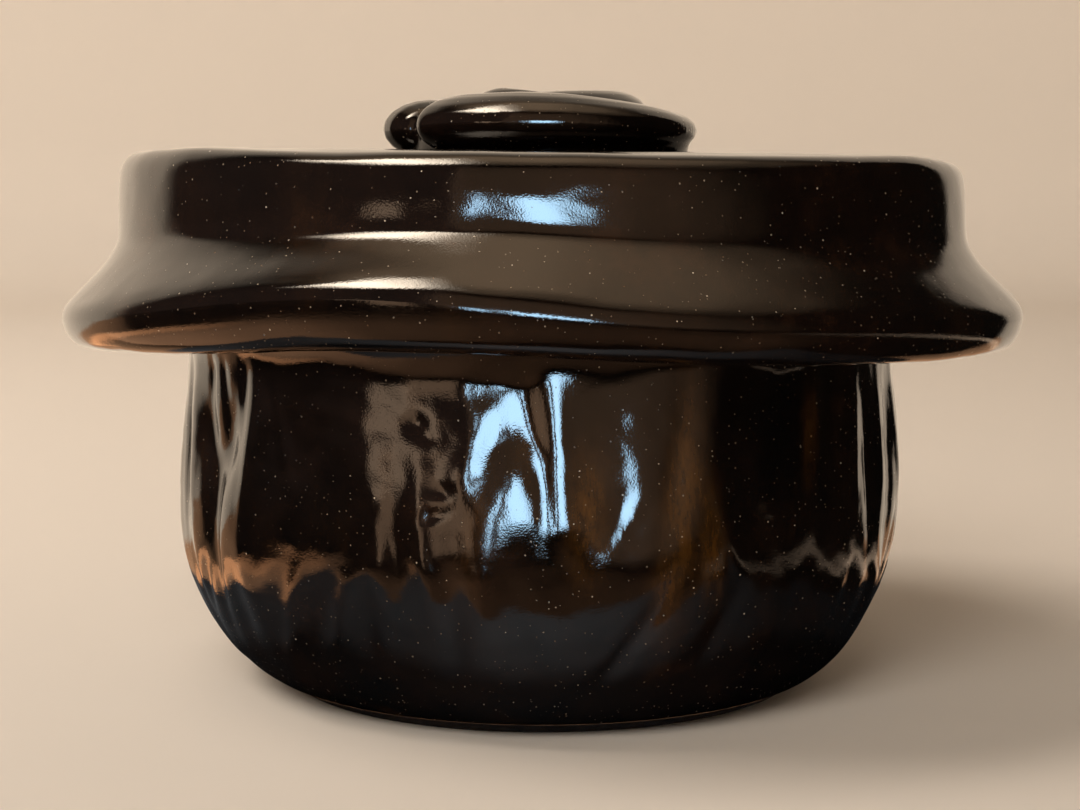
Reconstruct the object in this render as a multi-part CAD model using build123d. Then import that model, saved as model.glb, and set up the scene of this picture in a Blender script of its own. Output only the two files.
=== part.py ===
from build123d import *

import os
from math import cos, radians, sin

# Lidded go stone bowl in thick black-glazed stoneware.
#
# A hand-formed bowl with a round belly carries a low upright collar inside its rim. The lid is shaped like
# a wide-brimmed hat: its seat rests on the bowl's rim round the collar, its heavy brim rolls out past the
# belly in a slow wave, and a thick coiled knob sits on its flat top. Turned over, the hollow lid is the
# dish for captured stones.
#
# Frame: +Z is up, the foot rests on Z = 0 and the axis of the bowl is the Z axis. -Y is the front, and
# angles are measured anticlockwise from +X, seen from above. Lengths are in millimetres, angles in degrees.

# Bowl, outside
FOOT_OUTER_RADIUS = 46.0
FOOT_INNER_RADIUS = 36.0
FOOT_HEIGHT = 1.6
FOOT_FILLET = 0.5
BELLY_RADIUS = 64.9
BELLY_HEIGHT = 36.0
NECK_RADIUS = 63.2
NECK_HEIGHT = 57.0
RIM_RADIUS = 64.6
RIM_HEIGHT = 64.0

# Bowl, inside
WALL_THICKNESS = 6.0
FLOOR_RADIUS = 30.0
FLOOR_HEIGHT = 7.0
MOUTH_RADIUS = 54.0
MOUTH_HEIGHT = 58.0

# Collar inside the rim
COLLAR_OUTER_RADIUS = 59.0
COLLAR_HEIGHT = 8.0
COLLAR_FILLET = 2.0

# Lid, outside
BRIM_RADIUS = 85.0
BRIM_TIP_HEIGHT = 68.2
DRUM_RADIUS = 74.9
TOP_HEIGHT = 94.0
TOP_FLAT_RADIUS = 66.0

# Lid, inside
SEAT_RADIUS = 66.0
BORE_RADIUS = 60.0
BORE_HEIGHT = 4.0
HOLLOW_RADIUS = 68.0
HOLLOW_START_HEIGHT = 75.0
CEILING_HEIGHT = 88.0
CEILING_FILLET = 4.0

# Knob
KNOB_HEIGHT = 12.0
KNOB_INNER_RADIUS = 25.0
KNOB_OUTER_RADIUS = 28.9
KNOB_STEP_ANGLE = 222.0
KNOB_STEP_SPREAD = 26.0
KNOB_GROWTH = 0.7

# Unevenness of the hand-formed walls, as sums of (rise, number of crests round the axis, angle of a crest)
BELLY_SWELLS = ((0.33, 1, 180.0), (0.28, 3, 200.0), (0.22, 5, 250.0))
BRIM_WAVES = ((2.6, 2, 255.0),)
SHOULDER_WAVES = ((0.5, 1, 185.0), (0.7, 2, 185.0))

# Stretches over which the unevenness grows from nothing to its full size
BELLY_SWELL_FROM_FOOT = (FOOT_HEIGHT, 14.0)
BELLY_SWELL_FROM_RIM = (RIM_HEIGHT, 54.0)
BRIM_WAVE_FROM_SHOULDER = (90.0, 74.0)
BRIM_WAVE_FROM_SEAT = (SEAT_RADIUS, 80.0)
SHOULDER_WAVE_FROM_DRUM = (84.0, 91.0)
SHOULDER_WAVE_FROM_TOP = (TOP_FLAT_RADIUS, 71.0)

# Outlines as (radius, height)
BELLY_OUTLINE = (
    (FOOT_OUTER_RADIUS, FOOT_HEIGHT),
    (52.6, 3.6),
    (58.4, 11.0),
    (62.9, 21.0),
    (BELLY_RADIUS, BELLY_HEIGHT),
    (64.1, 47.0),
    (NECK_RADIUS, NECK_HEIGHT),
    (63.6, 61.5),
    (RIM_RADIUS, RIM_HEIGHT),
)
INNER_OUTLINE = (
    (FLOOR_RADIUS, FLOOR_HEIGHT),
    (47.0, 10.8),
    (55.2, 20.5),
    (BELLY_RADIUS - WALL_THICKNESS, BELLY_HEIGHT),
    (57.4, 48.0),
    (MOUTH_RADIUS, MOUTH_HEIGHT),
)
LID_OUTLINE = (
    (TOP_FLAT_RADIUS, TOP_HEIGHT),
    (71.6, 93.0),
    (74.6, 89.0),
    (DRUM_RADIUS, 83.5),
    (76.0, 79.0),
    (80.0, 75.2),
    (84.0, 71.7),
    (BRIM_RADIUS, BRIM_TIP_HEIGHT),
    (83.3, 63.7),
    (79.0, 62.0),
    (72.0, 62.9),
    (SEAT_RADIUS, RIM_HEIGHT),
)
KNOB_OUTLINE = (
    (26.0, TOP_HEIGHT),
    (28.2, 97.0),
    (KNOB_OUTER_RADIUS, 99.6),
    (27.8, 102.3),
    (24.0, 104.6),
    (17.0, 105.7),
    (10.0, TOP_HEIGHT + KNOB_HEIGHT),
)

# Curves used for each loft
RING_POINTS = 36
BELLY_RINGS = 14
LID_RINGS = 26
KNOB_RINGS = 12


def grown(value, stretch):
    """0 at the start of a stretch, 1 at its end and beyond, and an S-curve between them."""
    start, end = stretch
    share = min(1.0, max(0.0, (value - start) / (end - start)))
    return share * share * (3 - 2 * share)


def waves(angle, terms):
    """Sum of cosine waves round the axis, each a (rise, number of crests, angle of a crest)."""
    return sum(rise * cos(radians(crests * (angle - crest))) for rise, crests, crest in terms)


def knob_radius(angle):
    """Plan outline of the coiled knob: a snail curve that steps back in at the front left."""
    turn = ((angle - KNOB_STEP_ANGLE) % 360) / 360
    radius = KNOB_INNER_RADIUS + (KNOB_OUTER_RADIUS - KNOB_INNER_RADIUS) * turn**KNOB_GROWTH
    step_back = grown(turn, (1 - KNOB_STEP_SPREAD / 360, 1))
    return radius + (KNOB_INNER_RADIUS - radius) * step_back


def ring(radius_at, height_at):
    """Closed curve round the axis whose radius and height are functions of the angle."""
    points = []
    for step in range(RING_POINTS):
        angle = 360 * step / RING_POINTS
        radius = radius_at(angle)
        points.append((radius * cos(radians(angle)), radius * sin(radians(angle)), height_at(angle)))
    return Wire([Edge.make_spline(points, periodic=True)])


def curve(outline, tangents=None):
    """Smooth edge in the XZ plane through the (radius, height) points of an outline."""
    points = [Vector(radius, 0, height) for radius, height in outline]
    return Edge.make_spline(points, tangents=tangents)


def stations(outline, count):
    """(radius, height) at evenly spaced places along an outline's smooth curve."""
    path = curve(outline)
    places = [path.position_at(step / (count - 1)) for step in range(count)]
    return [(place.X, place.Z) for place in places]


def turned(*corners, closing_edge=None):
    """Solid of revolution from straight runs through the corners, closed by an edge of any shape."""
    points = [Vector(radius, 0, height) for radius, height in corners]
    edges = [Edge.make_line(start, end) for start, end in zip(points, points[1:])]
    edges.append(closing_edge or Edge.make_line(points[-1], points[0]))
    return Solid.revolve(Face(Wire(edges)), 360, Axis.Z)


def circles_at(solid, level):
    """Circular edges of the solid's lowest (0) or highest (-1) level."""
    return solid.edges().group_by(Axis.Z)[level].filter_by(GeomType.CIRCLE)


def bowl_hollow():
    """Space inside the bowl: flat floor, round belly and straight mouth, cut past the rim."""
    wall = curve(INNER_OUTLINE, tangents=(Vector(1, 0, 0), Vector(0, 0, 1)))
    past_rim = RIM_HEIGHT + 1
    return turned(
        (MOUTH_RADIUS, MOUTH_HEIGHT),
        (MOUTH_RADIUS, past_rim),
        (0, past_rim),
        (0, FLOOR_HEIGHT),
        (FLOOR_RADIUS, FLOOR_HEIGHT),
        closing_edge=wall,
    )


def lid_hollow():
    """Space inside the lid: bore through the seat, cone, and wide drum under the ceiling."""
    below_seat = RIM_HEIGHT - 1
    space = turned(
        (0, below_seat),
        (BORE_RADIUS, below_seat),
        (BORE_RADIUS, RIM_HEIGHT + BORE_HEIGHT),
        (HOLLOW_RADIUS, HOLLOW_START_HEIGHT),
        (HOLLOW_RADIUS, CEILING_HEIGHT),
        (0, CEILING_HEIGHT),
    )
    return space.fillet(CEILING_FILLET, circles_at(space, -1))


def bowl_body():
    """The vessel: slightly lobed outside, smooth inside, open at the mouth."""
    sections = []
    for radius, height in stations(BELLY_OUTLINE, BELLY_RINGS):
        swell = grown(height, BELLY_SWELL_FROM_FOOT) * grown(height, BELLY_SWELL_FROM_RIM)
        sections.append(
            ring(
                lambda angle, r=radius, s=swell: r + s * waves(angle, BELLY_SWELLS),
                lambda angle, h=height: h,
            )
        )
    return Solid.make_loft(sections) - bowl_hollow()


def bowl_foot_ring():
    """Unglazed ring that the bowl stands on."""
    block = turned(
        (FOOT_INNER_RADIUS, 0),
        (FOOT_OUTER_RADIUS, 0),
        (FOOT_OUTER_RADIUS, FOOT_HEIGHT),
        (FOOT_INNER_RADIUS, FOOT_HEIGHT),
    )
    return block.fillet(FOOT_FILLET, circles_at(block, 0))


def bowl_collar():
    """Upright collar on the rim that centres the lid."""
    collar_top = RIM_HEIGHT + COLLAR_HEIGHT
    block = turned(
        (MOUTH_RADIUS, RIM_HEIGHT),
        (COLLAR_OUTER_RADIUS, RIM_HEIGHT),
        (COLLAR_OUTER_RADIUS, collar_top),
        (MOUTH_RADIUS, collar_top),
    )
    return block.fillet(COLLAR_FILLET, circles_at(block, -1))


def lid_shell():
    """Drum and rolled brim in one piece, hollow inside, with a flat seat round the bore."""
    sections = []
    for radius, height in stations(LID_OUTLINE, LID_RINGS):
        on_brim = grown(height, BRIM_WAVE_FROM_SHOULDER) * grown(radius, BRIM_WAVE_FROM_SEAT)
        on_shoulder = grown(height, SHOULDER_WAVE_FROM_DRUM) * grown(radius, SHOULDER_WAVE_FROM_TOP)
        sections.append(
            ring(
                lambda angle, r=radius: r,
                lambda angle, h=height, b=on_brim, s=on_shoulder: h
                + b * waves(angle, BRIM_WAVES)
                + s * waves(angle, SHOULDER_WAVES),
            )
        )
    return Solid.make_loft(sections) - lid_hollow()


def lid_knob():
    """Thick flattened coil on the lid's top, undercut at its foot so that fingers can grip it."""
    sections = []
    for radius, height in stations(KNOB_OUTLINE, KNOB_RINGS):
        share = radius / KNOB_OUTER_RADIUS
        sections.append(
            ring(
                lambda angle, s=share: s * knob_radius(angle),
                lambda angle, h=height: h,
            )
        )
    return Solid.make_loft(sections)


def main():
    """Writes one STEP per piece."""
    os.makedirs("parts", exist_ok=True)
    pieces = {
        "bowl_body": bowl_body(),
        "bowl_foot_ring": bowl_foot_ring(),
        "bowl_collar": bowl_collar(),
        "lid_shell": lid_shell(),
        "lid_knob": lid_knob(),
    }
    for name, piece in pieces.items():
        piece.label = name
        export_step(piece, f"parts/{name}.step")


main()
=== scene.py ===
from math import cos, pi, radians, sin

import bmesh
import bpy
import numpy as np
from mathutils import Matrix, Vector


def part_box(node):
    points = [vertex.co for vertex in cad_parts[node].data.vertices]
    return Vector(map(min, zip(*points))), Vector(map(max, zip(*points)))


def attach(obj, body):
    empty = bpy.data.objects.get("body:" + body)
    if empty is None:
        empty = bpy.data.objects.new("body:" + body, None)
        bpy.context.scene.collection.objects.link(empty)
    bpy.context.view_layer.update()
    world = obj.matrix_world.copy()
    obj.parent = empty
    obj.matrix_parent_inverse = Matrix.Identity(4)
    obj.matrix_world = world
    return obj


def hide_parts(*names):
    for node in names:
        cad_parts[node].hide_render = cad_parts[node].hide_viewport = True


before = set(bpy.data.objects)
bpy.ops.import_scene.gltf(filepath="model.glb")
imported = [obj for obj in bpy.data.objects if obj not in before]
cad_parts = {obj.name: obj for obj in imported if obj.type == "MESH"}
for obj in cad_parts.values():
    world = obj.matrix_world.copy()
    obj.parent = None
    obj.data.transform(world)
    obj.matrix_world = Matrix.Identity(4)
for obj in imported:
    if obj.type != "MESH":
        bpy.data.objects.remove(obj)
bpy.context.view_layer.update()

# Looks of the lidded go stone bowl: black-brown glazed stoneware, hand-formed.
#
# Shapes are worked out in millimetres and scaled to metres when a mesh is made. Angles are in degrees from
# the front (-Y), positive towards the right (+X), seen from above. The foot rests on height 0. The stage, its
# lamps and cards and the camera are in metres.

MM = 0.001


def frame_mm(node):
    """Lowest and highest corner of a CAD node, in millimetres."""
    low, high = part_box(node)
    return low / MM, high / MM


# How far the brim's tip and the knob's top stay inside the CAD solids' box
INSIDE_BOX = 0.05

# Driving dimensions, from the frame
BODY_HIGH = frame_mm("bowl_body")[1]
FOOT_HIGH = frame_mm("bowl_foot_ring")[1]
LID_LOW, LID_HIGH = frame_mm("lid_shell")
KNOB_LOW, KNOB_HIGH = frame_mm("lid_knob")
FOOT_TOP = FOOT_HIGH.z
FOOT_RADIUS = FOOT_HIGH.x
RIM_HEIGHT = BODY_HIGH.z
BRIM_RADIUS = min(LID_HIGH.x, LID_HIGH.y, -LID_LOW.x, -LID_LOW.y) - INSIDE_BOX
LID_TOP = KNOB_LOW.z
KNOB_TOP = KNOB_HIGH.z - INSIDE_BOX

# Mesh density: columns round the axis, and spacing of the rows on the outside of the belly and of the lid
COLUMNS = 448
BELLY_ROW_SPACING = 0.55
LID_ROW_SPACING = 0.6

# Outline given by key points: steps of the smooth curve between two of them
SPAN_STEPS = 40

# Outline given by its slope: distance between its points, and the bell curve that rounds its bends
FALL_STEP = 0.05
FALL_SOFTNESS = 0.55
FALL_REACH = 1.6


# ---------------------------------------------------------------- shape helpers

def eased(value, start, end):
    """0 at start, 1 at end, and an S-curve between them; start may be the larger."""
    share = np.clip((value - start) / (end - start), 0, 1)
    return share * share * (3 - 2 * share)


def path_through(points, spacing):
    """Points every spacing millimetres along a smooth curve through a few (radius, height) points."""
    keys = np.array(points, float)
    padded = np.vstack([2 * keys[0] - keys[1], keys, 2 * keys[-1] - keys[-2]])
    fine = []
    for a, b, c, d in zip(padded, padded[1:], padded[2:], padded[3:]):
        chord = np.sqrt(np.linalg.norm([b - a, c - b, d - c], axis=1))
        into = chord[1] * ((b - a) / chord[0] - (c - a) / (chord[0] + chord[1]) + (c - b) / chord[1])
        out = chord[1] * ((c - b) / chord[1] - (d - b) / (chord[1] + chord[2]) + (d - c) / chord[2])
        t = np.linspace(0, 1, SPAN_STEPS, endpoint=False)[:, None]
        fine.append(
            b * (2 * t**3 - 3 * t**2 + 1)
            + into * (t**3 - 2 * t**2 + t)
            + c * (3 * t**2 - 2 * t**3)
            + out * (t**3 - t**2)
        )
    fine = np.vstack([*fine, keys[-1:]])
    run = np.concatenate([[0], np.cumsum(np.linalg.norm(np.diff(fine, axis=0), axis=1))])
    places = np.linspace(0, run[-1], max(2, int(round(run[-1] / spacing)) + 1))
    return np.stack([np.interp(places, run, fine[:, i]) for i in (0, 1)], axis=1)


def path_by_fall(start, falls, end_radius, spacing):
    """Outline that sets off outwards, from (distance along it, degrees it points below level) keys.

    It is stretched sideways so that it ends on end_radius.
    """
    run = np.arange(0, falls[-1][0], FALL_STEP)
    reach = np.arange(-FALL_REACH, FALL_REACH, FALL_STEP)
    kernel = np.exp(-0.5 * (reach / FALL_SOFTNESS) ** 2)
    raw = np.radians(np.interp(run, *np.array(falls).T))
    margin = len(reach) // 2
    fall = np.convolve(np.pad(raw, margin, mode="edge"), kernel / kernel.sum(), mode="same")
    fall = fall[margin:][: len(run)]
    out = np.concatenate([[0], np.cumsum(np.cos(fall) * FALL_STEP)])
    radius = start[0] + out * (end_radius - start[0]) / out[-1]
    height = start[1] - np.concatenate([[0], np.cumsum(np.sin(fall) * FALL_STEP)])
    step = max(1, int(spacing / FALL_STEP))
    keep = np.unique(np.append(np.arange(0, len(radius), step), len(radius) - 1))
    return np.stack([radius, height], axis=1)[keep]


def joined(*runs):
    """Outline made of several runs, each starting where the last one ends."""
    return np.vstack([runs[0], *[run[1:] for run in runs[1:]]])


def line(start, end, spacing):
    """Straight run between two (radius, height) points."""
    return path_through([start, end], spacing)


def keyed(angles, keys, softness=7.0):
    """Closed function of the angle from (angle, value) keys, with its bends softened over a few degrees."""
    grid = np.arange(-180, 180, 1.0)
    values = np.interp(grid, *np.array(sorted(keys)).T, period=360)
    reach = np.minimum(np.arange(360), 360 - np.arange(360))
    kernel = np.exp(-0.5 * (reach / softness) ** 2)
    soft = np.real(np.fft.ifft(np.fft.fft(values) * np.fft.fft(kernel / kernel.sum())))
    return np.interp(angles, grid, soft, period=360)


def lumps(points, wavelength, seed, waves=14):
    """Smooth random field of about unit size at each point, from seeded waves in all directions."""
    rng = np.random.default_rng(seed)
    directions = rng.normal(size=(waves, 3))
    directions /= np.linalg.norm(directions, axis=1)[:, None]
    lengths = wavelength * rng.uniform(0.75, 1.35, waves)
    phases = rng.uniform(0, 2 * pi, waves)
    field = sum(
        np.sin(points @ (direction * 2 * pi / length) + phase)
        for direction, length, phase in zip(directions, lengths, phases)
    )
    return field * np.sqrt(2 / waves)


def spots(angles, radius, height):
    """Points in millimetres of a grid of angles, radii and heights."""
    turn = np.radians(angles)
    axes = np.broadcast_arrays(radius * np.sin(turn), -radius * np.cos(turn), height)
    return np.stack(axes, axis=-1)


def wall_faces(rows, columns):
    """Quads between closed rows of points, and the index of each point."""
    index = np.arange(rows * columns).reshape(rows, columns)
    beside = np.roll(index, -1, axis=1)
    quads = np.stack([index[:-1], beside[:-1], beside[1:], index[1:]], axis=-1).reshape(-1, 4)
    return quads.tolist(), index


def tube_parts(rings):
    """Vertices and faces of a tube through closed rings of points, with a flat face at each end."""
    quads, index = wall_faces(*rings.shape[:2])
    return rings.reshape(-1, 3), [*quads, index[0, ::-1].tolist(), index[-1].tolist()]


def turned_object(name, radius, height, angles):
    """Closed mesh from rows of (radius, height) at each angle; the first and last rows end on the axis."""
    rings = spots(angles, radius[1:-1], height[1:-1])
    quads, index = wall_faces(*rings.shape[:2])
    poles = np.array([[0, 0, height[0].mean()], [0, 0, height[-1].mean()]])
    verts = np.vstack([rings.reshape(-1, 3), poles]) * MM
    first_pole, last_pole = len(verts) - 2, len(verts) - 1
    first = [(first_pole, b, a) for a, b in zip(index[0], np.roll(index[0], -1))]
    last = [(last_pole, a, b) for a, b in zip(index[-1], np.roll(index[-1], -1))]
    return mesh_object(name, verts, [*quads, *first, *last])


def mesh_object(name, verts, faces):
    """Smooth-shaded object with outward normals."""
    mesh = bpy.data.meshes.new(name)
    mesh.from_pydata(np.asarray(verts).tolist(), [], faces)
    tidy = bmesh.new()
    tidy.from_mesh(mesh)
    bmesh.ops.recalc_face_normals(tidy, faces=tidy.faces)
    tidy.to_mesh(mesh)
    tidy.free()
    mesh.shade_smooth()
    thing = bpy.data.objects.new(name, mesh)
    bpy.context.scene.collection.objects.link(thing)
    return thing


def pushed(profile, turn_to_move, columns=COLUMNS):
    """Grids of radius, height and angle, with each point moved along the outline's left-hand normal."""
    angles = np.linspace(-180, 180, columns, endpoint=False)[None, :]
    radius = np.repeat(profile[:, :1], columns, axis=1)
    height = np.repeat(profile[:, 1:], columns, axis=1)
    along_r = np.gradient(profile[:, 0])[:, None]
    along_h = np.gradient(profile[:, 1])[:, None]
    size = np.hypot(along_r, along_h)
    move, rise = turn_to_move(angles, radius, height)
    return radius - along_h / size * move, height + along_r / size * move + rise, angles


def marked(profile, part):
    """1 on the rows of a profile that belong to one of its runs, 0 elsewhere."""
    first = int(np.argmin(np.hypot(*(profile - part[0]).T)))
    flags = np.zeros((len(profile), 1))
    flags[first : first + len(part)] = 1
    return flags


def press(angles, radius, height, spec):
    """Depth at each point of one press or ridge, given as in PRESSES."""
    angle, middle, half_width, half_height, depth, tilt = spec
    sideways = np.radians((angles - angle + 180) % 360 - 180) * radius
    upward = height - middle
    lean = np.radians(tilt)
    across = sideways * np.cos(lean) - upward * np.sin(lean)
    along = sideways * np.sin(lean) + upward * np.cos(lean)
    return depth * np.exp(-0.5 * ((across / half_width) ** 2 + (along / half_height) ** 2))


# ---------------------------------------------------------------- bowl body

# Hollow of the bowl
FLOOR_RADIUS = 30.0
FLOOR_HEIGHT = 7.0
MOUTH_RADIUS = 54.0
MOUTH_HEIGHT = 58.0

# Outer edge of the rim: where it starts to round over, and a point on the round, as (radius, height)
RIM_EDGE_RADIUS = 63.4
RIM_ROUND = (64.0, 63.8)

# Outside of the belly from the rim to the foot, as (radius, height)
BELLY_KEYS = (
    (64.3, 63.4),
    (63.75, 62.3),
    (63.3, 60.7),
    (63.1, 58.8),
    (63.15, 56.5),
    (63.4, 53.0),
    (64.0, 45.0),
    (64.6, 36.0),
    (64.2, 28.0),
    (62.8, 21.0),
    (60.6, 15.0),
    (57.4, 9.6),
    (53.0, 4.6),
    (49.4, 2.2),
    (FOOT_RADIUS, FOOT_TOP),
)
# Inside, from the floor up to the mouth
INNER_KEYS = (
    (FLOOR_RADIUS, FLOOR_HEIGHT),
    (47.0, 10.8),
    (55.2, 20.5),
    (58.9, 36.0),
    (57.4, 48.0),
    (MOUTH_RADIUS, MOUTH_HEIGHT),
)

# The belly's slow unevenness: waves, as (rise, number of crests round the axis, angle of a crest)
BELLY_SWELLS = ((0.33, 1, -90), (0.25, 3, 20))
# Stretches of height over which the unevenness grows from nothing, above the foot and below the rim
RELIEF_FROM_FOOT = (FOOT_TOP, 8)
RELIEF_FROM_RIM = (63.0, 57.5)

# Finger presses and ridges on the belly, as (angle, height, half width, half height, depth, tilt). A negative
# depth stands out, and the tilt is how many degrees the top leans to the right.
PRESSES = (
    # heart-shaped press at the left, with its rims
    (-61.5, 46.5, 2.3, 5.0, 1.3, -8),
    (-54.5, 46.5, 2.6, 5.5, 1.5, 8),
    (-59.0, 37.0, 2.4, 7.0, 1.4, 6),
    (-48.0, 43.0, 1.3, 9.0, -0.55, 6),
    (-67.5, 42.0, 1.4, 10.0, -0.5, -4),
    # creases under the rim and thin ridges beside the press
    (-61.0, 57.0, 0.8, 3.0, 0.5, 6),
    (-56.0, 57.5, 0.7, 3.0, 0.4, -6),
    (-50.0, 56.0, 0.8, 4.0, 0.4, 4),
    (-44.5, 50.5, 0.7, 2.4, -0.3, 0),
    (-40.0, 47.0, 0.7, 5.5, -0.32, -14),
    (-34.0, 46.0, 6.0, 10.0, 0.3, 0),
    # deep crease with a fold on each side
    (-20.8, 32.0, 2.2, 6.0, 0.6, 3),
    (-17.4, 36.0, 1.0, 6.0, -0.3, 3),
    (-23.5, 28.5, 2.0, 4.0, -0.6, 14),
    (-16.2, 28.0, 1.0, 3.6, -0.5, -6),
    # small dents in the light patch
    (-17.8, 52.0, 1.2, 1.2, 0.36, 0),
    (-16.0, 49.8, 0.8, 0.7, 0.2, -50),
    (-13.2, 41.8, 1.1, 1.0, 0.3, 0),
    (-14.6, 38.4, 1.8, 0.7, 0.3, -26),
    # broken middle
    (-10.5, 46.0, 1.5, 4.6, -0.4, 26),
    (-6.0, 50.0, 2.4, 4.2, 0.75, 24),
    (-3.6, 58.0, 2.4, 2.6, 0.36, 0),
    (-7.2, 58.6, 2.4, 3.2, 0.6, 0),
    (-12.0, 36.0, 2.0, 3.6, 0.12, 0),
    (-3.4, 38.5, 4.2, 5.0, -0.14, 8),
    (2.2, 51.0, 1.4, 6.0, -0.4, -5),
    (-1.9, 51.0, 1.5, 5.5, 0.66, -6),
    (0.3, 41.5, 0.8, 5.0, 0.3, -3),
    (3.0, 37.5, 1.8, 3.6, -0.42, 0),
    (9.5, 50.0, 3.0, 7.0, 0.32, 0),
    (11.4, 37.8, 2.7, 3.4, 0.68, 8),
    (11.8, 37.5, 0.9, 3.2, -0.35, 26),
    # furrow and ridges to the right
    (18.4, 45.0, 1.3, 9.0, 0.42, 10),
    (22.5, 41.0, 3.2, 12.0, -0.45, 4),
    (26.8, 34.0, 0.8, 4.0, -0.45, -18),
    (30.0, 36.5, 2.6, 4.0, 0.5, 0),
    (33.5, 38.0, 1.2, 1.1, -0.25, 0),
    (36.0, 47.0, 4.0, 9.0, 0.4, 0),
    (43.0, 55.5, 1.4, 4.0, -0.5, 8),
    (39.6, 49.5, 0.7, 4.5, -0.25, -4),
    (46.0, 47.0, 1.6, 8.0, 0.5, 0),
    (53.0, 46.0, 1.2, 10.0, -0.35, 3),
    (58.0, 42.0, 1.6, 9.0, 0.6, -4),
    (63.5, 45.0, 1.1, 9.0, -0.4, 2),
    (69.0, 40.0, 1.8, 11.0, 0.6, 5),
    (75.0, 46.0, 1.0, 9.0, -0.4, -5),
    # folds of the lower belly
    (-42.0, 14.0, 1.1, 6.0, -0.45, 34),
    (-39.0, 23.0, 1.2, 5.0, -0.4, 24),
    (-31.0, 18.0, 1.3, 5.0, -0.45, 22),
    (-35.5, 18.0, 1.6, 7.0, 0.5, 28),
    (-26.0, 20.0, 1.6, 7.0, 0.5, 12),
    (-8.0, 21.0, 2.2, 7.0, -0.5, 0),
    (-12.5, 20.0, 1.4, 7.0, 0.55, 4),
    (-3.0, 19.0, 1.8, 7.0, 0.5, -4),
    (4.0, 21.0, 3.0, 6.0, -0.4, 10),
    (13.4, 19.0, 1.1, 7.5, 0.8, 31),
    (19.5, 18.0, 2.6, 7.0, -0.45, 26),
    (26.0, 19.0, 1.4, 7.0, 0.6, 22),
    (33.0, 17.0, 2.4, 7.0, -0.4, 20),
    (40.0, 20.0, 1.4, 8.0, 0.55, 16),
    (48.0, 18.0, 2.2, 8.0, -0.4, 14),
)

# Presses and ridges of the sides and back: the angles from, to and apart, ranges for their half width, depth,
# height, half height and tilt, and the factors that a depth may get
SCATTER_SEED = 41
SCATTERED = (
    # on the belly
    {
        "angles": (79, 288, 5.2),
        "half_width": (0.9, 3.2),
        "depth": (0.35, 0.95),
        "factors": (1, 1, -0.6),
        "height": (37, 51),
        "half_height": (4, 11),
        "tilt": (-14, 14),
    },
    # folds of the lower belly
    {
        "angles": (54, 312, 5.6),
        "half_width": (1.0, 2.4),
        "depth": (0.4, 0.75),
        "factors": (1, -0.8),
        "height": (15, 26),
        "half_height": (5, 8),
        "tilt": (-26, 26),
    },
)

# Runs where the glaze is thin and shows amber: (angle, height, half width, half height, strength, tilt)
AMBER_RUNS = (
    (6.2, 39.0, 1.9, 6.0, 1.0, 2),
    (19.4, 42.0, 1.8, 11.0, 0.9, 4),
    (23.6, 33.0, 1.5, 6.0, 0.7, -6),
    (17.0, 28.0, 1.5, 4.0, 0.5, 10),
    (42.0, 49.0, 1.0, 4.5, 0.6, 6),
    (-9.0, 36.0, 1.6, 5.0, 0.35, 8),
    (-1.5, 50.0, 1.8, 6.0, 0.3, 0),
    (88.0, 40.0, 3.0, 10.0, 0.8, 5),
    (131.0, 36.0, 2.2, 9.0, 0.9, -6),
    (176.0, 44.0, 3.2, 8.0, 0.8, 3),
    (214.0, 34.0, 2.4, 9.0, 0.9, 8),
    (251.0, 42.0, 2.8, 8.0, 0.7, -4),
)


def scattered_presses():
    """Presses, ridges and folds for the sides and back, like the ones at the front."""
    rng = np.random.default_rng(SCATTER_SEED)
    specs = []
    for kind in SCATTERED:
        for angle in np.arange(*kind["angles"]):
            half_width = rng.uniform(*kind["half_width"])
            depth = rng.uniform(*kind["depth"]) * rng.choice(kind["factors"])
            middle = rng.uniform(*kind["height"])
            angle = angle + rng.uniform(-2, 2)
            half_height = rng.uniform(*kind["half_height"])
            tilt = rng.uniform(*kind["tilt"])
            specs.append((angle, middle, half_width, half_height, depth, tilt))
    return specs


def make_body():
    """The vessel, closed, with its smooth hollow and dented outside."""
    outside = path_through(BELLY_KEYS, BELLY_ROW_SPACING)
    profile = joined(
        line((0, FLOOR_HEIGHT), (FLOOR_RADIUS, FLOOR_HEIGHT), 6.0),
        path_through(INNER_KEYS, 2.0),
        line((MOUTH_RADIUS, MOUTH_HEIGHT), (MOUTH_RADIUS, RIM_HEIGHT), 2.0),
        line((MOUTH_RADIUS, RIM_HEIGHT), (RIM_EDGE_RADIUS, RIM_HEIGHT), 2.4),
        path_through([(RIM_EDGE_RADIUS, RIM_HEIGHT), RIM_ROUND, outside[0]], 0.4),
        outside,
        line((FOOT_RADIUS, FOOT_TOP), (0, FOOT_TOP), 6.0),
    )
    on_outside = marked(profile, outside)

    def relief(angles, radius, height):
        places = spots(angles, radius, height)
        tall = places * (1, 1, 0.5)
        depth = 0.20 * lumps(tall, 24, 3) + 0.055 * lumps(tall, 10, 4) + 0.018 * lumps(places, 4.5, 5)
        for spec in (*PRESSES, *scattered_presses()):
            depth = depth + press(angles, radius, height, spec)
        swell = sum(
            rise * np.cos(np.radians(crests * (angles - crest))) for rise, crests, crest in BELLY_SWELLS
        )
        share = on_outside * eased(height, *RELIEF_FROM_FOOT) * eased(height, *RELIEF_FROM_RIM)
        return share * (swell - depth), 0

    radius, height, angles = pushed(profile, relief)
    body = turned_object("bowl_body_glazed", radius, height, angles)
    thin = sum(press(angles, radius, height, run) for run in AMBER_RUNS) * on_outside
    at_poles = (0, 0)
    values = body.data.attributes.new("thin_glaze", "FLOAT", "POINT")
    values.data.foreach_set("value", np.append(thin[1:-1].ravel(), at_poles).astype(np.float32))
    return body


# ---------------------------------------------------------------- lid

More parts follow.
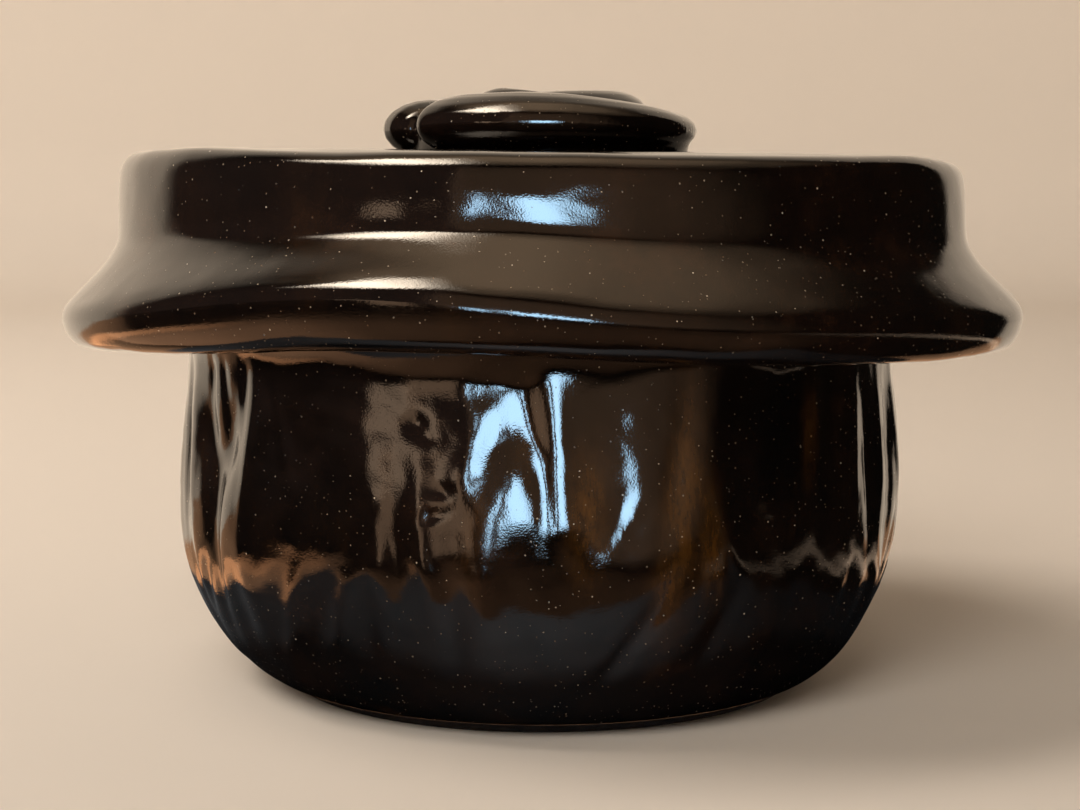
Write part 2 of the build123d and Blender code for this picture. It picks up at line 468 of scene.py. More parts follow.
# Flat top and seat of the lid, and its hollow from the bore in the seat up to the ceiling's rounded edge
TOP_FLAT_RADIUS = 64.0
SEAT_RADIUS = 66.0
BORE_RADIUS = 60.0
BORE_TOP = 68.0
HOLLOW_RADIUS = 68.0
HOLLOW_START_HEIGHT = 75.0
CEILING_HEIGHT = 88.0
CEILING_RADIUS = 64.0
CEILING_EDGE = ((HOLLOW_RADIUS, 84.0), (66.8, 86.8), (CEILING_RADIUS, CEILING_HEIGHT))

# Outside of the lid from the flat top down to the tip of the brim, as (distance along it, degrees it points
# below level), and on round the lip to the seat, as (radius, height)
LID_FALLS = (
    (0, 1), (7.4, 5), (8.6, 12), (10.2, 35), (11.8, 62), (13.4, 80), (15.4, 85), (18.0, 87.5), (19.4, 89),
    (21.0, 88), (22.2, 86), (22.9, 79), (23.8, 59), (24.6, 52), (26.2, 49), (27.4, 46.5), (28.6, 43.5),
    (30.5, 42), (33.4, 42), (35.2, 43), (36.8, 46), (37.8, 51), (38.6, 62), (39.4, 78), (40.2, 90),
)
LIP_KEYS = (
    (84.8, 66.75),
    (84.3, 65.1),
    (82.8, 63.1),
    (79.6, 62.0),
    (75.0, 62.1),
    (70.0, 63.0),
    (SEAT_RADIUS, RIM_HEIGHT),
)
# Rise of the brim, of its tip alone and of the drum's shoulder above the outline, as (angle, rise)
BRIM_RISE = (
    (-180, 1.8), (-135, 0.2), (-90, -2.4), (-70, -1.4), (-50, 0.3), (-30, 1.6), (-14, 2.5), (0, 2.0),
    (12, 0.5), (25, -0.2), (50, -1.3), (90, -2.1), (135, -0.2),
)
TIP_RISE = (
    (-180, 0), (-150, 0.5), (-110, -0.2), (-50, 0), (-38, 1.5), (-30, 2.3), (-16, 2.5), (-6, 1.0), (4, 0),
    (60, 0), (110, 0.4), (150, -0.3),
)
SHOULDER_RISE = (
    (-180, 0.1), (-135, 0.5), (-90, 0.8), (-60, 0.8), (-42, 0.4), (-27, -0.4), (0, -0.9), (60, -0.8),
    (90, -0.6), (135, -0.2),
)

# Stretches of height or radius over which each of those rises grows from nothing to its full size
BRIM_RISE_BELOW_SHOULDER = (90, 76)
BRIM_RISE_BEYOND_SEAT = (66, 78)
TIP_RISE_ABOVE_LIP = (63.5, 67.5)
TIP_RISE_BELOW_FLARE = (79, 68.5)
SHOULDER_RISE_ABOVE_DRUM = (82, 91)
SHOULDER_RISE_BEYOND_KNOB = (34, 68)
# The same for the lumps of the outside, from the seat and from the brim's tip, and for those of the flat top
LUMPS_BEYOND_SEAT = (64, 70)
LUMPS_FROM_TIP = (0, 2)
TOP_LUMPS_ABOVE_DRUM = (90, 93)
TOP_LUMPS_BEYOND_KNOB = (32, 44)
TOP_LUMPS_WITHIN_SHOULDER = (74, 66)
# The lumps are smallest at the neck between drum and brim: its height, how far above and below it they reach
# their full size, and their size there
FLARE_NECK = 79
FLARE_REACH = 9
FLARE_SMALLEST = 0.35

# Slight presses on the drum, given as in PRESSES
DRUM_PRESSES = (
    (-4.6, 82.9, 3.4, 1.3, 0.17, 10),
    (-1.6, 87.6, 1.6, 1.6, -0.07, -30),
    (3.4, 84.2, 1.5, 1.0, 0.06, 24),
    (5.4, 87.0, 2.6, 1.4, 0.10, -16),
    (-12.5, 84.4, 2.2, 2.0, 0.08, 20),
    (14.0, 85.0, 3.4, 2.4, 0.10, 30),
    (-31.0, 85.5, 4.0, 2.4, 0.08, -20),
)


def lid_rise(angles, radius, height, on_brim, on_shoulder):
    """How far the lid's wave lifts its outside."""
    brim = on_brim * eased(height, *BRIM_RISE_BELOW_SHOULDER) * eased(radius, *BRIM_RISE_BEYOND_SEAT)
    tip = on_brim * eased(height, *TIP_RISE_ABOVE_LIP) * eased(height, *TIP_RISE_BELOW_FLARE)
    shoulder = (
        on_shoulder * eased(height, *SHOULDER_RISE_ABOVE_DRUM) * eased(radius, *SHOULDER_RISE_BEYOND_KNOB)
    )
    return (
        brim * keyed(angles, BRIM_RISE)
        + tip * keyed(angles, TIP_RISE)
        + shoulder * keyed(angles, SHOULDER_RISE)
    )


def lid_outside():
    """Outline of the lid from the edge of the flat top to the seat."""
    down = path_by_fall((TOP_FLAT_RADIUS, LID_TOP), LID_FALLS, BRIM_RADIUS, LID_ROW_SPACING)
    return joined(down, path_through([down[-1], *LIP_KEYS], LID_ROW_SPACING))


def make_lid():
    """Drum and rolled brim, closed, with the hollow inside."""
    flat_top = line((0, LID_TOP), (TOP_FLAT_RADIUS, LID_TOP), 2.0)
    outside = lid_outside()
    profile = joined(
        flat_top,
        outside,
        line((SEAT_RADIUS, RIM_HEIGHT), (BORE_RADIUS, RIM_HEIGHT), 2.0),
        line((BORE_RADIUS, RIM_HEIGHT), (BORE_RADIUS, BORE_TOP), 2.0),
        line((BORE_RADIUS, BORE_TOP), (HOLLOW_RADIUS, HOLLOW_START_HEIGHT), 2.5),
        line((HOLLOW_RADIUS, HOLLOW_START_HEIGHT), CEILING_EDGE[0], 3.0),
        path_through(CEILING_EDGE, 1.2),
        line((CEILING_RADIUS, CEILING_HEIGHT), (0, CEILING_HEIGHT), 8.0),
    )
    on_outside = marked(profile, outside)
    on_top = np.clip(on_outside + marked(profile, flat_top), 0, 1)

    def relief(angles, radius, height):
        rise = lid_rise(angles, radius, height, on_outside, on_top)
        places = spots(angles, radius, height)
        share = (
            on_outside
            * eased(radius, *LUMPS_BEYOND_SEAT)
            * eased(BRIM_RADIUS - radius, *LUMPS_FROM_TIP)
        )
        away_from_neck = np.abs(np.clip((height - FLARE_NECK) / FLARE_REACH, -1, 1))
        flare = FLARE_SMALLEST + (1 - FLARE_SMALLEST) * away_from_neck
        swell = 0.12 * lumps(places, 40, 11) + 0.03 * lumps(places, 13, 12) + 0.009 * lumps(places, 6, 13)
        top = (
            on_top
            * eased(height, *TOP_LUMPS_ABOVE_DRUM)
            * eased(radius, *TOP_LUMPS_BEYOND_KNOB)
            * eased(radius, *TOP_LUMPS_WITHIN_SHOULDER)
        )
        dents = on_outside * sum(press(angles, radius, height, spec) for spec in DRUM_PRESSES)
        return share * flare * swell + 0.09 * top * lumps(places, 36, 15) - dents, rise

    return turned_object("lid_shell_glazed", *pushed(profile, relief))


# ---------------------------------------------------------------- knob

# The knob is a coil of two rolls of clay on a flattened disc. Stations along each roll, as (angle, reach from
# the axis, middle height, half width, half height).
ROLLS = (
    # outer roll: lapped over its own end at the left, round the front, lower at the right, and round the back
    (
        (-58, 19.4, 98.6, 9.2, 5.0),
        (-38, 19.2, 99.0, 9.4, 5.3),
        (-12, 18.8, 99.1, 9.6, 5.4),
        (12, 18.6, 99.0, 9.7, 5.2),
        (40, 19.0, 98.6, 9.3, 4.6),
        (70, 20.0, 98.2, 8.0, 3.9),
        (100, 20.2, 98.4, 7.4, 4.0),
        (140, 20.0, 98.8, 7.2, 4.2),
        (180, 19.8, 99.0, 7.2, 4.4),
        (220, 19.8, 99.0, 8.0, 4.9),
        (258, 20.0, 98.7, 8.7, 5.3),
        (296, 19.9, 98.6, 8.7, 5.3),
    ),
    # inner roll: rises behind the outer one at the front and winds in to the middle
    (
        (-30, 9.6, 100.6, 6.0, 3.9),
        (20, 11.6, 100.9, 6.4, 4.2),
        (60, 12.6, 101.0, 6.4, 4.4),
        (110, 13.0, 101.0, 6.2, 4.7),
        (170, 11.4, 101.0, 5.6, 4.7),
        (230, 10.0, 101.1, 5.2, 4.6),
        (285, 7.4, 101.8, 4.4, 4.3),
        (340, 4.2, 101.4, 4.2, 4.0),
        (400, 1.6, 101.2, 4.2, 3.8),
    ),
)
# Outline of the disc under the rolls, as (radius, height), the way it lies off the axis, towards the back
# right, and the slope of its top, which is higher at the left
DISC_KEYS = (
    (23.8, 91.0),
    (24.8, LID_TOP),
    (25.3, 96.8),
    (24.9, 99.2),
    (23.0, 100.8),
    (19.0, 101.6),
    (12.0, 101.8),
)
DISC_SHIFT = (1.3, 1.2, 0)
DISC_TILT = 0.028
DISC_TILT_STRETCH = (LID_TOP, 101)

# Domed end of a roll: its length in half widths, and the share of that length that its flat tip cuts off
DOME_LENGTH = 0.7
DOME_TIP = 0.02

# Melting of the knob's parts into one skin: size of its cells, and how often and how much it is smoothed
KNOB_CELL = 0.5
KNOB_SMOOTHINGS = 4
KNOB_SMOOTHING = 0.5


def roll_parts(stations, across=20, steps=72):
    """Vertices and faces of one roll: an elliptical sweep round the axis with domed ends."""
    keys = np.array(stations, float)
    share = np.linspace(0, 1, steps)
    angle, reach, middle, half_width, half_height = (
        np.interp(share, np.linspace(0, 1, len(keys)), keys[:, i]) for i in range(5)
    )
    length = np.radians(abs(keys[-1, 0] - keys[0, 0])) * reach.mean()
    from_end = np.minimum(share, 1 - share) * length / half_width.mean() / DOME_LENGTH
    dome = np.sqrt(1 - (1 - np.clip(from_end, DOME_TIP, 1)) ** 2)[:, None]
    turn = np.linspace(0, 2 * pi, across, endpoint=False)[None, :]
    radius = reach[:, None] + dome * half_width[:, None] * np.cos(turn)
    height = middle[:, None] + dome * half_height[:, None] * np.sin(turn)
    return tube_parts(spots(angle[:, None], radius, height))


def disc_parts(columns=96):
    """Vertices and faces of the disc."""
    outline = path_through(DISC_KEYS, 1.0)
    angles = np.linspace(-180, 180, columns, endpoint=False)[None, :]
    rings = spots(angles, outline[:, :1], outline[:, 1:]) + DISC_SHIFT
    rings[..., 2] -= DISC_TILT * rings[..., 0] * eased(rings[..., 2], *DISC_TILT_STRETCH)
    return tube_parts(rings)


def make_knob():
    """Flattened coil: rolls and disc melted into one skin, cut flat where it meets the lid."""
    verts, faces = [], []
    for part_verts, part_faces in (disc_parts(), *[roll_parts(stations) for stations in ROLLS]):
        start = sum(len(v) for v in verts)
        verts.append(part_verts)
        faces.extend([[start + i for i in face] for face in part_faces])
    rough = mesh_object("knob_rough", np.vstack(verts) * MM, faces)
    melt = rough.modifiers.new("melt", "REMESH")
    melt.mode = "VOXEL"
    melt.voxel_size = KNOB_CELL * MM
    soften = rough.modifiers.new("soften", "SMOOTH")
    soften.factor = KNOB_SMOOTHING
    soften.iterations = KNOB_SMOOTHINGS
    skin = bpy.data.meshes.new_from_object(rough.evaluated_get(bpy.context.evaluated_depsgraph_get()))
    bpy.data.objects.remove(rough)

    cut = bmesh.new()
    cut.from_mesh(skin)
    everything = [*cut.verts, *cut.edges, *cut.faces]
    base = LID_TOP * MM
    bmesh.ops.bisect_plane(cut, geom=everything, plane_co=(0, 0, base), plane_no=(0, 0, 1), clear_inner=True)
    rim = [edge for edge in cut.edges if edge.is_boundary]
    bmesh.ops.holes_fill(cut, edges=rim, sides=0)
    top = max(vert.co.z for vert in cut.verts)
    for vert in cut.verts:
        vert.co.z = base + (vert.co.z - base) * (KNOB_TOP * MM - base) / (top - base)
    bmesh.ops.recalc_face_normals(cut, faces=cut.faces)
    cut.to_mesh(skin)
    cut.free()
    skin.name = "lid_knob_glazed"
    skin.shade_smooth()
    knob = bpy.data.objects.new("lid_knob_glazed", skin)
    bpy.context.scene.collection.objects.link(knob)
    return knob


# ---------------------------------------------------------------- materials

# Sockets of a Mix node that mixes colours: its share, its two colours and its result
MIX_SHARE, MIX_LOW, MIX_HIGH, MIX_RESULT = 0, 6, 7, 2

# Amber of the glaze: in its faint streaks, and in the marked runs
FAINT_AMBER = (0.030, 0.013, 0.004)
RUN_AMBER = (0.095, 0.040, 0.007)


def new_material(name):
    """Node material, its Principled shader, and functions that add a node and link two sockets."""
    material = bpy.data.materials.new(name)
    material.use_nodes = True
    tree = material.node_tree

    def add(kind, **settings):
        node = tree.nodes.new(kind)
        for key, value in settings.items():
            socket = node.inputs.get(key.replace("_", " "))
            if socket is not None:
                socket.default_value = value
            else:
                setattr(node, key, value)
        return node

    return material, tree.nodes["Principled BSDF"], add, tree.links.new


def colour_ramp(add, link, source, stops):
    """Colour for a value, through (position, colour) stops."""
    node = add("ShaderNodeValToRGB")
    elements = node.color_ramp.elements
    elements[0].position, elements[-1].position = stops[0][0], stops[-1][0]
    elements[0].color, elements[-1].color = (*stops[0][1], 1), (*stops[-1][1], 1)
    for position, colour in stops[1:-1]:
        elements.new(position).color = (*colour, 1)
    link(source, node.inputs["Fac"])
    return node.outputs["Color"]


def mixed(add, link, share, low, high):
    """Colour between two others; each of the three is a socket or a plain value."""
    node = add("ShaderNodeMix", data_type="RGBA")
    for index, value in ((MIX_SHARE, share), (MIX_LOW, low), (MIX_HIGH, high)):
        socket = node.inputs[index]
        if isinstance(value, bpy.types.NodeSocket):
            link(value, socket)
        elif isinstance(value, float):
            socket.default_value = value
        else:
            socket.default_value = (*value, 1)
    return node.outputs[MIX_RESULT]


def glaze(name, seed, ripple=0.08, amber=0.5):
    """Deep black-brown glaze: brown and amber where it runs thin, light pinholes that are partly painted
    glints, faint orange peel.
    """
    material, shader, add, link = new_material(name)
    coords = add("ShaderNodeTexCoord")
    place = add("ShaderNodeMapping", Location=(0.31 * seed, 0.17 * seed, 0))
    link(coords.outputs["Object"], place.inputs["Vector"])
    runs = add("ShaderNodeMapping", Scale=(1, 1, 0.28))
    link(place.outputs["Vector"], runs.inputs["Vector"])

    # colour: near black, with brown clouds, faint amber streaks, and the marked runs where the glaze is thin
    cloud = add("ShaderNodeTexNoise", Scale=44.0, Detail=9.0, Roughness=0.7)
    link(place.outputs["Vector"], cloud.inputs["Vector"])
    brown = colour_ramp(add, link, cloud.outputs["Fac"], (
        (0.40, (0.0018, 0.0013, 0.0011)),
        (0.58, (0.0060, 0.0031, 0.0020)),
        (0.74, (0.0230, 0.0100, 0.0050)),
    ))
    streak = add("ShaderNodeTexNoise", Scale=62.0, Detail=8.0, Roughness=0.6)
    link(runs.outputs["Vector"], streak.inputs["Vector"])
    thin = colour_ramp(add, link, streak.outputs["Fac"], ((0.60, (0, 0, 0)), (0.74, (amber, amber, amber))))
    faint = mixed(add, link, thin, brown, FAINT_AMBER)
    run_mask = add("ShaderNodeAttribute", attribute_name="thin_glaze")
    mottle = add("ShaderNodeTexNoise", Scale=420.0, Detail=6.0, Roughness=0.75)
    link(runs.outputs["Vector"], mottle.inputs["Vector"])
    broken = add("ShaderNodeMapRange", From_Min=0.36, From_Max=0.66, To_Min=0.15, To_Max=1.0)
    link(mottle.outputs["Fac"], broken.inputs["Value"])
    run_share = add("ShaderNodeMath", operation="MULTIPLY")
    link(run_mask.outputs["Fac"], run_share.inputs[0])
    link(broken.outputs["Result"], run_share.inputs[1])
    colour = mixed(add, link, run_share.outputs["Value"], faint, RUN_AMBER)

    # pinholes with painted glints: light specks of many sizes and tints, in nearly every cell of a fine
    # mosaic, partly pinholes and partly painted sparkles of light
    cells = add("ShaderNodeTexVoronoi", Scale=1080.0)
    link(place.outputs["Vector"], cells.inputs["Vector"])
    split = add("ShaderNodeSeparateColor")
    link(cells.outputs["Color"], split.inputs["Color"])
    size = add("ShaderNodeMapRange", From_Min=0.1, From_Max=1.0, To_Min=0.0, To_Max=0.16)
    link(split.outputs["Red"], size.inputs["Value"])
    speck = add("ShaderNodeMath", operation="LESS_THAN")
    link(cells.outputs["Distance"], speck.inputs[0])
    link(size.outputs["Result"], speck.inputs[1])
    pinhole_and_glint_tint = colour_ramp(add, link, split.outputs["Green"], (
        (0.0, (0.07, 0.035, 0.014)),
        (0.6, (0.12, 0.095, 0.065)),
        (0.9, (0.24, 0.20, 0.15)),
        (1.0, (0.6, 0.52, 0.42)),
    ))
    link(mixed(add, link, speck.outputs["Value"], colour, pinhole_and_glint_tint), shader.inputs["Base Color"])

    # surface: orange peel, fine grit and pinhole pits
    peel = add("ShaderNodeTexNoise", Scale=330.0, Detail=2.0)
    link(place.outputs["Vector"], peel.inputs["Vector"])
    grit = add("ShaderNodeTexNoise", Scale=3600.0, Detail=1.0)
    link(place.outputs["Vector"], grit.inputs["Vector"])
    ripple_bump = add("ShaderNodeBump", Strength=ripple, Distance=0.0004)
    link(peel.outputs["Fac"], ripple_bump.inputs["Height"])
    grit_bump = add("ShaderNodeBump", Strength=0.12, Distance=0.0001)
    link(grit.outputs["Fac"], grit_bump.inputs["Height"])
    link(ripple_bump.outputs["Normal"], grit_bump.inputs["Normal"])
    pit_bump = add("ShaderNodeBump", Strength=0.5, Distance=0.0001, invert=True)
    link(speck.outputs["Value"], pit_bump.inputs["Height"])
    link(grit_bump.outputs["Normal"], pit_bump.inputs["Normal"])
    link(pit_bump.outputs["Normal"], shader.inputs["Normal"])

    # gloss: a little duller in the clouds and pinholes
    dull = add("ShaderNodeMapRange", From_Min=0.3, From_Max=0.8, To_Min=0.045, To_Max=0.11)
    link(cloud.outputs["Fac"], dull.inputs["Value"])
    rough = add("ShaderNodeMath", operation="MULTIPLY_ADD")
    link(speck.outputs["Value"], rough.inputs[0])
    rough.inputs[1].default_value = 0.25
    link(dull.outputs["Result"], rough.inputs[2])
    link(rough.outputs["Value"], shader.inputs["Roughness"])
    shader.inputs["IOR"].default_value = 1.55
    return material


def bare_clay():
    """Matt iron-rich clay, stained darker in places."""
    material, shader, add, link = new_material("bare_clay")
    coords = add("ShaderNodeTexCoord")
    grain = add("ShaderNodeTexNoise", Scale=900.0, Detail=5.0)
    stain = add("ShaderNodeTexNoise", Scale=90.0, Detail=3.0)
    for noise in (grain, stain):
        link(coords.outputs["Object"], noise.inputs["Vector"])
    fine = colour_ramp(add, link, grain.outputs["Fac"], (
        (0.3, (0.010, 0.007, 0.006)),
        (0.7, (0.032, 0.020, 0.014)),
    ))
    broad = colour_ramp(add, link, stain.outputs["Fac"], ((0.35, (0, 0, 0)), (0.65, (0.6, 0.6, 0.6))))
    link(mixed(add, link, broad, fine, (0.008, 0.006, 0.005)), shader.inputs["Base Color"])
    bump = add("ShaderNodeBump", Strength=0.4, Distance=0.0003)
    link(grain.outputs["Fac"], bump.inputs["Height"])
    link(bump.outputs["Normal"], shader.inputs["Normal"])
    shader.inputs["Roughness"].default_value = 0.85
    shader.inputs["Specular IOR Level"].default_value = 0.1
    return material


def plain(name, colour, roughness):
    """Plain surface for the floor and backdrop."""
    material, shader, *_ = new_material(name)
    shader.inputs["Base Color"].default_value = (*colour, 1)
    shader.inputs["Roughness"].default_value = roughness
    shader.inputs["Specular IOR Level"].default_value = 0
    return material


def glow(name, colour, strength, across, up, clear):
    """Glowing surface for a studio card, with brightness from left to right and from low to high.

    A clear card adds its light to what is behind it; any other hides that.
    """
    material, shader, add, link = new_material(name)
    nodes = material.node_tree.nodes
    nodes.remove(shader)
    coords = add("ShaderNodeTexCoord")
    split = add("ShaderNodeSeparateXYZ")
    link(coords.outputs["UV"], split.inputs["Vector"])
    shades = []
    for axis, values in (("X", across), ("Y", up)):
        positions = np.linspace(0, 1, len(values))
        stops = [(position, (value, value, value)) for position, value in zip(positions, values)]
        shades.append(colour_ramp(add, link, split.outputs[axis], stops))
        shades[-1].node.color_ramp.interpolation = "EASE"
    both = add("ShaderNodeMath", operation="MULTIPLY")
    for socket, shade in zip(both.inputs, shades):
        link(shade, socket)
    scaled = add("ShaderNodeMath", operation="MULTIPLY")
    link(both.outputs["Value"], scaled.inputs[0])
    scaled.inputs[1].default_value = strength
    emission = add("ShaderNodeEmission", Color=(*colour, 1))
    link(scaled.outputs["Value"], emission.inputs["Strength"])
    surface = emission.outputs["Emission"]
    if clear:
        through = add("ShaderNodeBsdfTransparent")
        total = add("ShaderNodeAddShader")
        link(surface, total.inputs[0])
        link(through.outputs["BSDF"], total.inputs[1])
        surface = total.outputs["Shader"]
    link(surface, nodes["Material Output"].inputs["Surface"])
    return material


# ---------------------------------------------------------------- stage, light and camera

# Camera: its place, how many degrees it looks down, and its lens and sensor width in millimetres
CAMERA_PLACE = (-0.0004, -0.3632, 0.086)
CAMERA_DIP = 5.85
CAMERA_LENS = 66.67
CAMERA_SENSOR = 36

# Pale floor that turns up into a round wall, as (radius, height)
STAGE_OUTLINE = ((1.3, 0), (1.42, 0.01), (1.5, 0.05), (1.55, 0.14), (1.56, 0.3), (1.56, 2.2))
STAGE_COLOUR = (0.74, 0.68, 0.61)

# What the glaze mirrors: half the side of the square cloth, the height from which the patches' elevations are
# counted, the number of steps along each side of a bent card, and the window's colour
CLOTH_HALF_SIDE = 0.096
PATCH_HEIGHT = 0.06
CARD_STEPS = 40
WINDOW_BLUE = (0.45, 0.74, 1.0)


def add_camera():
    """Camera at the object's front, a little above the middle and tipped slightly down."""
    data = bpy.data.cameras.new("camera")
    data.sensor_width = CAMERA_SENSOR
    data.lens = CAMERA_LENS
    camera = bpy.data.objects.new("camera", data)
    camera.location = CAMERA_PLACE
    camera.rotation_euler = (radians(90 - CAMERA_DIP), 0, 0)
    bpy.context.scene.collection.objects.link(camera)
    bpy.context.scene.camera = camera


def add_area(name, place, target, size, power, colour):
    """Soft rectangular lamp for the stage, which the glaze doesn't mirror."""
    data = bpy.data.lights.new(name, "AREA")
    data.shape = "RECTANGLE"
    data.size, data.size_y = size
    data.energy = power
    data.color = colour
    lamp = bpy.data.objects.new(name, data)
    lamp.location = place
    lamp.rotation_mode = "QUATERNION"
    lamp.rotation_quaternion = (Vector(target) - Vector(place)).to_track_quat("-Z", "Y")
    lamp.visible_camera = False
    lamp.visible_glossy = False
    bpy.context.scene.collection.objects.link(lamp)


def add_card(
    name, corner, rightward, upward, colour, strength, across=(1, 1), up=(1, 1), bend=None, clear=True
):
    """Studio card that only the glaze mirrors: a grid from its lower left corner, flat unless bent.

    Its brightness goes through the values in across, from left to right, and in up, from low to high.
    """
    steps = 1 if bend is None else CARD_STEPS
    verts, shares = [], []
    for row in range(steps + 1):
        for column in range(steps + 1):
            u, v = column / steps, row / steps
            place = Vector(corner) + Vector(rightward) * u + Vector(upward) * v
            verts.append(place if bend is None else bend(place))
            shares.append((u, v))
    width = steps + 1
    faces = [
        (a, a + 1, a + 1 + width, a + width)
        for a in (row * width + column for row in range(steps) for column in range(steps))
    ]
    mesh = bpy.data.meshes.new(name)
    mesh.from_pydata(verts, [], faces)
    uv = mesh.uv_layers.new(name="UVMap")
    for loop, spot in zip(mesh.loops, uv.data):
        spot.uv = shares[loop.vertex_index]
    mesh.materials.append(glow(name, colour, strength, across, up, clear))
    card = bpy.data.objects.new(name, mesh)
    for kind in ("camera", "diffuse", "transmission", "volume_scatter", "shadow"):
        setattr(card, "visible_" + kind, False)
    bpy.context.scene.collection.objects.link(card)


def table_place(place):
    """Point on the square cloth for an azimuth and a share of the way from the foot to the cloth's edge."""
    azimuth = radians(place[0])
    foot = FOOT_RADIUS * MM
    edge = CLOTH_HALF_SIDE / max(abs(sin(azimuth)), abs(cos(azimuth)))
    reach = foot + (edge - foot) * place[1]
    return Vector((sin(azimuth) * reach, -cos(azimuth) * reach, 0))


def add_patch(name, azimuths, elevations, distance, colour, strength, across=(1, 1), up=(1, 1)):
    """Card bent round the bowl over a range of azimuths (left to right) and elevations (low to high)."""

    def bend(place):
        azimuth, elevation = radians(place[0]), radians(place[1])
        level = cos(elevation) * distance
        height = PATCH_HEIGHT + sin(elevation) * distance
        return Vector((sin(azimuth) * level, -cos(azimuth) * level, height))

    span = (azimuths[1] - azimuths[0], 0, 0)
    rise = (0, elevations[1] - elevations[0], 0)
    add_card(name, (azimuths[0], elevations[0], 0), span, rise, colour, strength, across, up, bend)


def add_stage():
    """Pale seamless floor with a round wall; the glaze mirrors the cards instead."""
    columns = 96
    verts = [(0, 0, 0)]
    for radius, height in STAGE_OUTLINE:
        for step in range(columns):
            turn = 2 * pi * step / columns
            verts.append((radius * cos(turn), radius * sin(turn), height))
    faces = [(0, 1 + step, 1 + (step + 1) % columns) for step in range(columns)]
    for ring in range(len(STAGE_OUTLINE) - 1):
        for step in range(columns):
            a = 1 + ring * columns + step
            b = 1 + ring * columns + (step + 1) % columns
            faces.append((a, a + columns, b + columns, b))
    floor = mesh_object("stage_floor", verts, faces)
    floor.data.materials.append(plain("stage_pale", STAGE_COLOUR, 0.8))
    floor.visible_glossy = False


def add_lamps():
    """Dim warm surroundings, and soft lamps for the stage."""
    world = bpy.data.worlds.new("studio")
    world.use_nodes = True
    background = world.node_tree.nodes["Background"]
    background.inputs["Color"].default_value = (1.0, 0.75, 0.55, 1)
    background.inputs["Strength"].default_value = 0.01
    bpy.context.scene.world = world
    add_area("soft_top_left", (-0.8, -0.2, 1.3), (-0.7, 1.2, 0.7), (0.9, 0.9), 21, (1.0, 0.90, 0.80))
    add_area("soft_front", (-0.4, -1.2, 0.9), (-0.4, 0.8, 0.3), (0.8, 0.6), 12, (1.0, 0.93, 0.85))


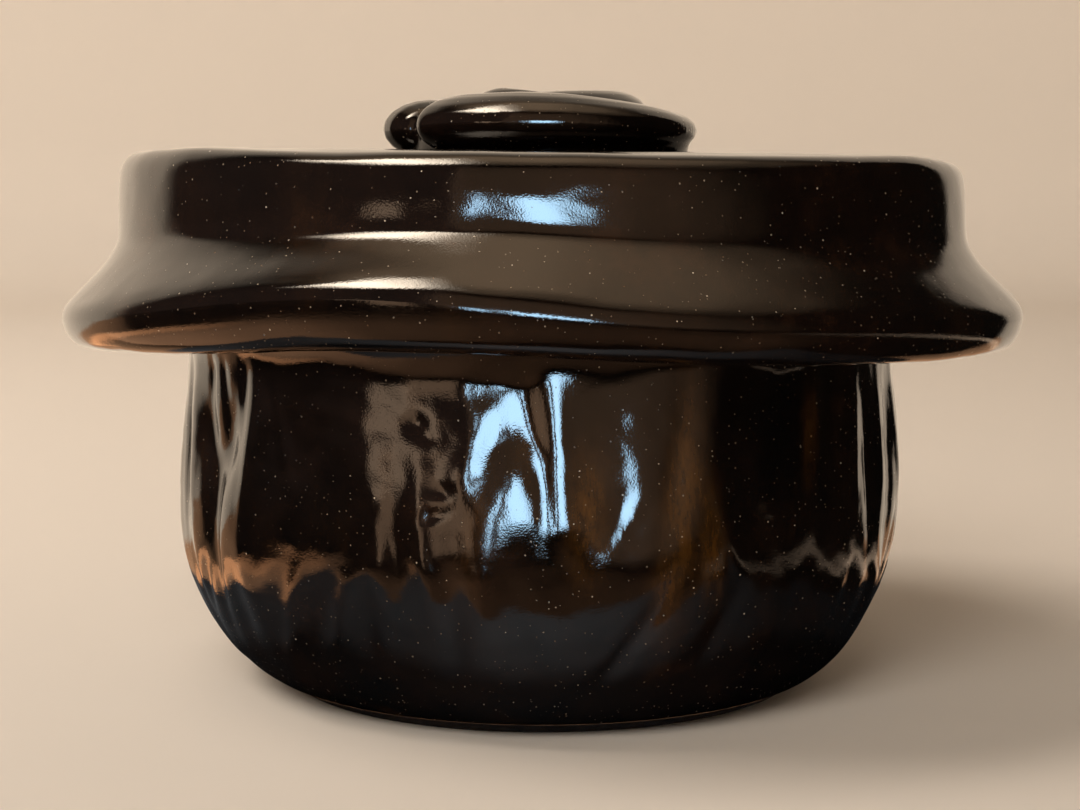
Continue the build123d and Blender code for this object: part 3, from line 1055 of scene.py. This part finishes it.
def add_cards():
    """The cards that the glaze mirrors, as a stand-in for a room."""
    # pale wall behind, brown towards its foot where a painted shadow of the cloth falls on it, and the dim
    # cloth the bowl stands on, with a painted shadow of the bowl
    add_card(
        "card_wall", (-1.45, 0.5, -0.1), (2.0, 0, 0), (0, 0, 1.7), (1.0, 0.80, 0.60), 1.15,
        across=(0, 0.5, 1, 1, 1, 0.85, 0.7, 0.65, 0.6),
        up=(1, 1, 1, 0.9, 0.7, 0.28, 0.08, 0.02, 0),
    )
    # painted shadow: the wall's foot below the cloth, shaded and so a warm brown
    add_card(
        "card_wall_foot_shadow", (-1.45, 0.5, -0.8), (2.0, 0, 0), (0, 0, 0.7), (1.0, 0.52, 0.27), 0.8,
        across=(0.6, 1, 1, 0.8),
        up=(0, 0.3, 0.7, 1),
    )
    # painted shadow of the bowl on the cloth: the card is darkest at the foot and towards the right
    add_card(
        "card_table_with_shadow", (-180, 0, 0), (360, 0, 0), (0, 1, 0), (0.98, 0.98, 1.0), 0.38,
        across=(0.2, 0.3, 0.3, 0.25, 0.3, 0.6, 1, 0.35, 0.08, 0.03, 0.04, 0.1, 0.2),
        up=(0, 0.1, 0.7, 1, 1),
        bend=table_place,
        clear=False,
    )

    # ceiling with its lamp, brighter on the left
    add_card(
        "card_ceiling", (-1.5, -1.0, 1.5), (3.0, 0, 0), (0, 2.0, 0), (1.0, 0.68, 0.42), 1.7,
        across=(0, 0, 0.8, 1, 0.6, 0.2, 0),
        up=(0, 0.5, 1, 0.9, 0.3, 0),
    )
    add_card(
        "card_lamp", (-0.92, -0.64, 1.14), (0.80, 0, 0), (0, 0.72, 0), (1.0, 0.84, 0.66), 24.0,
        across=(0, 0.25, 0.8, 1, 1, 0.6, 0.12, 0),
        up=(0, 0.3, 0.9, 1, 1, 1, 1, 1, 0.9, 0.3),
    )

    # the room in front, brown and lighter towards its floor
    add_patch(
        "card_room", (-23, 62), (-14, 50), 1.4, (1.0, 0.6, 0.36), 0.6,
        across=(0.85, 0.95, 1, 1, 0.9, 0.7, 0.5, 0.2, 0),
        up=(0.15, 1, 0.9, 0.8, 0.8, 0.7, 0.3),
    )
    add_patch(
        "card_room_floor", (-125, 75), (-60, -18.5), 1.4, (1.0, 0.51, 0.27), 1.6,
        across=(0.8, 1, 0.8, 0.35, 0.18, 0.15, 0.15, 0),
        up=(0.4, 0.8, 1, 1, 0.5),
    )

    # window with a pane beside it, a tan panel on the left in two parts, and the dark beyond it
    add_patch(
        "card_window", (-8, 11), (-11, 9), 1.0, WINDOW_BLUE, 24.0,
        across=(0.5, 0.9, 1, 1, 1, 1, 0.9, 0.7, 0.4),
        up=(0.4, 1, 1, 1, 1, 0.8),
    )
    add_patch(
        "card_window_pane", (-16, -12), (-11, 8), 1.0, WINDOW_BLUE, 20.0,
        across=(0.5, 1, 1, 0.5),
        up=(1, 1, 1, 1, 0.6, 0.3),
    )
    add_patch(
        "card_tan", (-44, -36), (-5, 5), 1.0, (1.0, 0.68, 0.45), 2.3,
        across=(0.9, 1, 1, 1),
        up=(0.3, 1, 1, 1),
    )
    add_patch(
        "card_tan_low", (-37, -27.5), (-14, 1.2), 1.0, (1.0, 0.62, 0.38), 1.6,
        across=(1, 1, 0.9, 0.7),
        up=(0.8, 1, 1, 0.9),
    )
    add_patch(
        "card_shade_left", (-112, -20), (-16, 60), 1.4, (1.0, 0.60, 0.48), 0.14,
        across=(0.5, 0.9, 1, 1),
        up=(0.15, 0.35, 1, 1, 1, 0.9, 0.8, 0.6),
    )

    # low bands at the sides
    add_patch(
        "card_low_left", (-150, -62), (-22.5, -18.5), 1.0, (1.0, 0.42, 0.17), 1.7,
        across=(1, 1, 0.8, 0),
    )
    add_patch(
        "card_low_right", (44, 150), (-18, -15.5), 1.0, (1.0, 0.72, 0.5), 0.9,
        across=(0, 0.5, 0.8, 1, 1),
    )


# ---------------------------------------------------------------- putting it together

def dress(piece, material, body, slot, *nodes):
    """Material, body and replaced CAD nodes of one piece; the slot is not used."""
    piece.data.materials.clear()
    piece.data.materials.append(material)
    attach(piece, body)
    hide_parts(*nodes)


def main():
    """Camera, stage and light, three visual pieces, and the finish of the two CAD nodes that are kept."""
    bpy.context.scene.view_settings.view_transform = "Standard"
    add_camera()
    add_stage()
    add_lamps()
    add_cards()
    dress(make_body(), glaze("bowl_glaze", 1), "bowl", "bowl_glaze", "bowl_body")
    dress(make_lid(), glaze("lid_glaze", 2, ripple=0.045, amber=0.3), "lid", "lid_glaze", "lid_shell")
    dress(make_knob(), glaze("knob_glaze", 3, ripple=0.02, amber=0.2), "lid", "knob_glaze", "lid_knob")
    for node, material in (("bowl_foot_ring", bare_clay()), ("bowl_collar", glaze("collar_glaze", 4))):
        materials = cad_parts[node].data.materials
        materials.clear()
        materials.append(material)


main()
